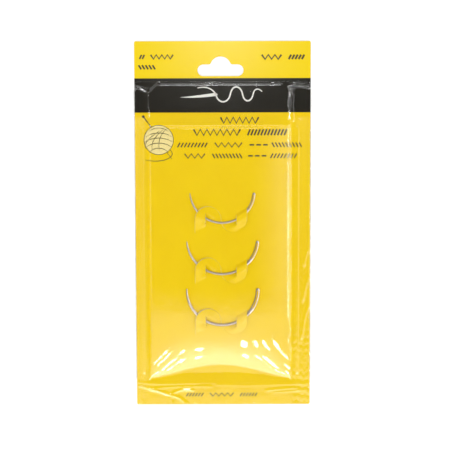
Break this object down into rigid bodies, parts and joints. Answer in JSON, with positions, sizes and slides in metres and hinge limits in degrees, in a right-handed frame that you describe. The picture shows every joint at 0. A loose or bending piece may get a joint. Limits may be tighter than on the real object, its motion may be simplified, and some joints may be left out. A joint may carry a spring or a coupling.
{
  "type": "yarn needle card",
  "caption": "Hanging card of curved blunt yarn needles in graded sizes, each threaded through a pair of die-cut flaps, under a clear slide-off bubble cover.",
  "frame": {"origin": "under the middle of the pack, on the surface that it lies on", "axes": "+X across the card to the right, +Y along the card to its header, +Z out of its front"},
  "size_m": [0.068, 0.14, 0.0071],
  "materials": {
    "board": "printed board, yellow with a near-black band, satin",
    "clear_film": "clear thermoformed film, glossy",
    "needle_steel": "nickel-plated, polished"
  },
  "bodies": {
    "card": {"hanging_card": "board"},
    "cover": {"clear_cover": "clear_film"},
    "needle_24": {"needle_size_24": "needle_steel"},
    "needle_22": {"needle_size_22": "needle_steel"},
    "needle_20": {"needle_size_20": "needle_steel"}
  },
  "joints": [
    {"name": "cover_slide", "type": "slide", "parent": "card", "child": "cover", "axis": [0, -1, 0], "range_m": [0, 0.105]},
    {"name": "needle_24_turn", "type": "hinge", "parent": "card", "child": "needle_24", "pos_m": [-0.0003, 0.0131, 0.00117], "axis": [0, 0, 1], "range_deg": [-36, 130]},
    {"name": "needle_22_turn", "type": "hinge", "parent": "card", "child": "needle_22", "pos_m": [-0.0003, -0.0054, 0.00122], "axis": [0, 0, 1], "range_deg": [-36, 36]},
    {"name": "needle_20_turn", "type": "hinge", "parent": "card", "child": "needle_20", "pos_m": [-0.0003, -0.02515, 0.0013], "axis": [0, 0, 1], "range_deg": [-36, 36]}
  ]
}
